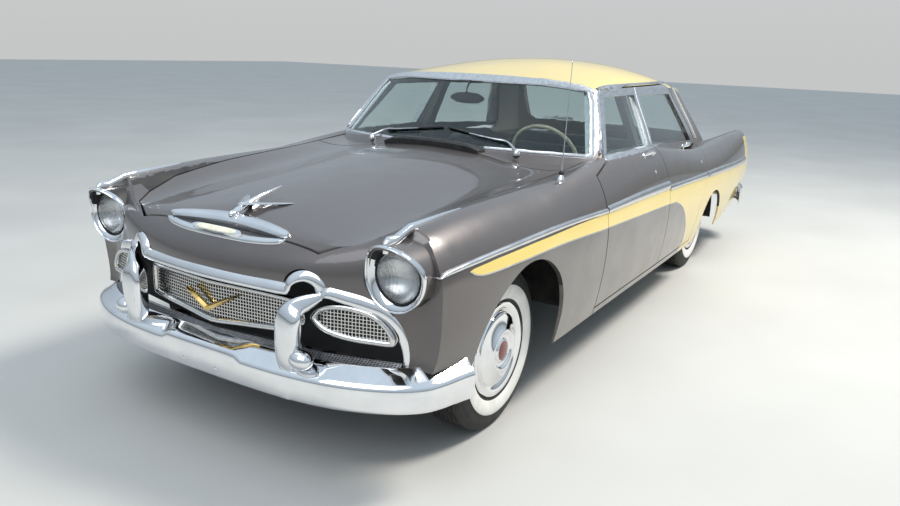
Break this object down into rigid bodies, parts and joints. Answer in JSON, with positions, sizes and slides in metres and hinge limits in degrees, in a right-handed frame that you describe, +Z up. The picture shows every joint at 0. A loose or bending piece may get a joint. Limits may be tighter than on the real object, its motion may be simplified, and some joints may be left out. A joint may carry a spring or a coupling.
{
  "type": "four-door saloon car",
  "caption": "Large four-door saloon of the mid 1950s with fins, two-tone paint, mesh grille and chrome bumpers; doors, hood, deck lid, steering and wheels move.",
  "frame": {"origin": "on the ground, midway between the bumpers' ends and between the sides", "axes": "+X forward, +Y to the car's left, +Z up"},
  "size_m": [5.6, 1.9916, 1.5496],
  "materials": {
    "body_paint": "gloss",
    "roof_paint": "gloss",
    "black_steel": "satin",
    "engine_paint": "satin",
    "chrome": "polished",
    "bright_steel": "satin",
    "window_glass": "gloss",
    "lamp_glass": "gloss",
    "red_lens": "gloss",
    "tyre": "matte",
    "seat_fabric": "matte",
    "dash_paint": "satin",
    "cream_plastic": "gloss",
    "exhaust_steel": "satin"
  },
  "bodies": {
    "body": {"fender_left": "body_paint", "fender_right": "body_paint", "nose_panel": "body_paint", "cowl_panel": "body_paint", "quarter_left": "body_paint", "quarter_right": "body_paint", "rear_panels": "body_paint", "roof": "roof_paint", "body_glass": "window_glass", "floor_pan": "black_steel", "wheelhouses": "black_steel", "engine_bay": "black_steel", "rear_bulkhead": "black_steel", "side_frame": "body_paint", "radiator": "black_steel", "dashboard": "dash_paint", "front_seat": "seat_fabric", "rear_seat": "seat_fabric", "chassis_frame": "black_steel", "powertrain": "engine_paint", "rear_axle": "black_steel", "front_suspension": "black_steel", "exhaust": "exhaust_steel", "fuel_tank": "bright_steel", "front_bumper": "chrome", "rear_bumper": "chrome", "grille": "chrome", "front_valance": "body_paint", "headlamps": "lamp_glass", "tail_lamps": "red_lens"},
    "hood": {"hood": "body_paint"},
    "deck_lid": {"deck_lid": "body_paint"},
    "door_front_left": {"door_front_left": "body_paint", "door_front_glass_left": "window_glass"},
    "door_front_right": {"door_front_right": "body_paint", "door_front_glass_right": "window_glass"},
    "door_rear_left": {"door_rear_left": "body_paint", "door_rear_glass_left": "window_glass"},
    "door_rear_right": {"door_rear_right": "body_paint", "door_rear_glass_right": "window_glass"},
    "steering_wheel": {"steering_wheel": "cream_plastic"},
    "knuckle_left": {"knuckle_left": "engine_paint"},
    "knuckle_right": {"knuckle_right": "engine_paint"},
    "wheel_front_left": {"wheel_front_left": "chrome", "tyre_front_left": "tyre"},
    "wheel_front_right": {"wheel_front_right": "chrome", "tyre_front_right": "tyre"},
    "wheel_rear_left": {"wheel_rear_left": "chrome", "tyre_rear_left": "tyre"},
    "wheel_rear_right": {"wheel_rear_right": "chrome", "tyre_rear_right": "tyre"}
  },
  "joints": [
    {"name": "hood_hinge", "type": "hinge", "parent": "body", "child": "hood", "pos_m": [1.206, 0, 1.1], "axis": [0, -1, 0], "range_deg": [0, 45]},
    {"name": "deck_lid_hinge", "type": "hinge", "parent": "body", "child": "deck_lid", "pos_m": [-1.69, 0, 1], "axis": [0, 1, 0], "range_deg": [0, 65]},
    {"name": "door_front_left_hinge", "type": "hinge", "parent": "body", "child": "door_front_left", "pos_m": [1.075, 0.995, 0], "axis": [0, 0, -1], "range_deg": [0, 65]},
    {"name": "door_rear_left_hinge", "type": "hinge", "parent": "body", "child": "door_rear_left", "pos_m": [-0.009, 0.995, 0], "axis": [0, 0, -1], "range_deg": [0, 65]},
    {"name": "door_front_right_hinge", "type": "hinge", "parent": "body", "child": "door_front_right", "pos_m": [1.075, -0.995, 0], "axis": [0, 0, 1], "range_deg": [0, 65]},
    {"name": "door_rear_right_hinge", "type": "hinge", "parent": "body", "child": "door_rear_right", "pos_m": [-0.009, -0.995, 0], "axis": [0, 0, 1], "range_deg": [0, 65]},
    {"name": "steer_left", "type": "hinge", "parent": "body", "child": "knuckle_left", "pos_m": [1.93, 0.68, 0.358], "axis": [0, 0, 1], "range_deg": [-30, 30]},
    {"name": "steer_right", "type": "hinge", "parent": "body", "child": "knuckle_right", "pos_m": [1.93, -0.68, 0.358], "axis": [0, 0, 1], "range_deg": [-30, 30]},
    {"name": "steering_wheel_turn", "type": "hinge", "parent": "body", "child": "steering_wheel", "pos_m": [0.59, 0.4, 1], "axis": [-0.9078, 0, 0.4194], "range_deg": [-540, 540]},
    {"name": "wheel_front_left_spin", "type": "hinge", "parent": "knuckle_left", "child": "wheel_front_left", "pos_m": [1.93, 0.765, 0.358], "axis": [0, 1, 0], "continuous": true},
    {"name": "wheel_front_right_spin", "type": "hinge", "parent": "knuckle_right", "child": "wheel_front_right", "pos_m": [1.93, -0.765, 0.358], "axis": [0, 1, 0], "continuous": true},
    {"name": "wheel_rear_left_spin", "type": "hinge", "parent": "body", "child": "wheel_rear_left", "pos_m": [-1.27, 0.755, 0.358], "axis": [0, 1, 0], "continuous": true},
    {"name": "wheel_rear_right_spin", "type": "hinge", "parent": "body", "child": "wheel_rear_right", "pos_m": [-1.27, -0.755, 0.358], "axis": [0, 1, 0], "continuous": true}
  ],
  "couplings": [
    {"joint": "steer_right", "follows": "steer_left", "ratio": 1},
    {"joint": "steering_wheel_turn", "follows": "steer_left", "ratio": 18}
  ]
}
